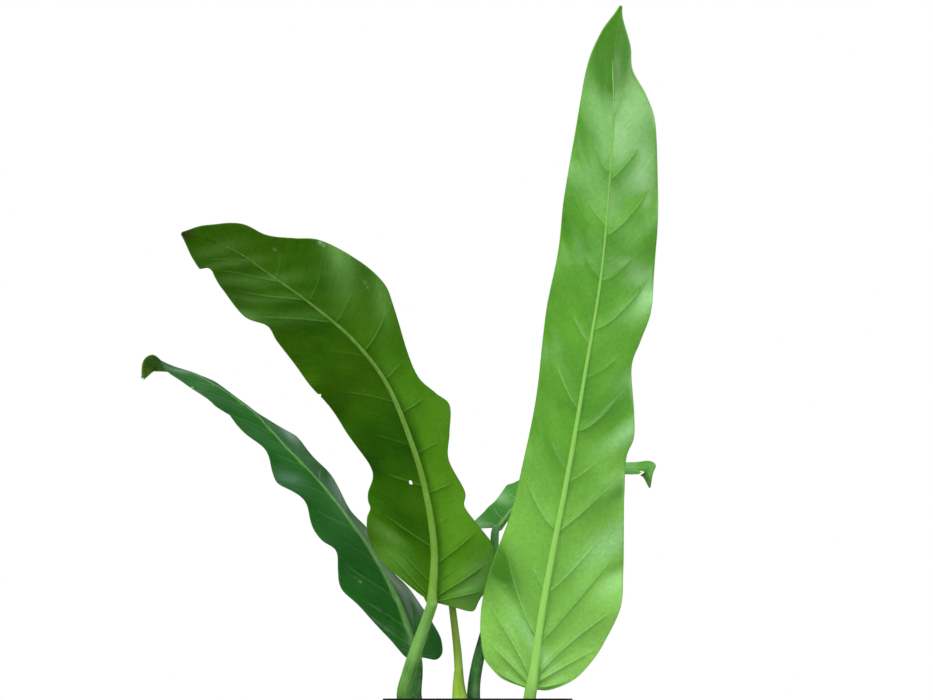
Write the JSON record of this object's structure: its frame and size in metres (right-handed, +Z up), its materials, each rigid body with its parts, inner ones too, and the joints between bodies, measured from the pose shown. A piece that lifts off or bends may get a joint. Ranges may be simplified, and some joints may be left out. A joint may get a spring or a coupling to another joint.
{
  "type": "potted philodendron longilaminatum",
  "caption": "Potted foliage plant with long narrow heart-based blades on slender petioles, rising from a short creeping stem in a round nursery pot.",
  "frame": {"origin": "middle of the pot's foot, on the surface that the pot rests on", "axes": "+Z up, -Y towards the side that shows most in the picture, +X to that view's right"},
  "size_m": [0.4258, 0.3823, 0.6173],
  "materials": {
    "pot_plastic": "black moulded plastic, slight sheen",
    "potting_mix": "damp bark, coir and white grit, matt",
    "stem": "green-brown stem with leaf scars, satin",
    "tall_blade": "bright green leaf, satin underside, glossy upper side",
    "arching_blade": "olive green leaf, satin underside, glossy upper side",
    "side_blade": "dark green leaf, glossy upper side",
    "back_blade": "mid green leaf, glossy upper side",
    "pale_petiole": "pale green petiole and midrib, satin",
    "green_petiole": "dark green petiole, satin",
    "new_leaf": "olive brown rolled leaf, satin",
    "sheath": "yellow-green sheath, satin",
    "root": "brown root, matt"
  },
  "bodies": {
    "root": {"pot": "pot_plastic", "potting_mix": "potting_mix", "stem": "stem", "tall_leaf_blade": "tall_blade", "tall_leaf_petiole": "pale_petiole", "arching_leaf_blade": "arching_blade", "arching_leaf_petiole": "pale_petiole", "side_leaf_blade": "side_blade", "side_leaf_petiole": "green_petiole", "back_leaf_blade": "back_blade", "back_leaf_petiole": "green_petiole", "new_leaf": "new_leaf", "new_leaf_sheath": "sheath", "root_1": "root", "root_2": "root", "root_3": "root", "root_4": "root"}
  },
  "joints": []
}
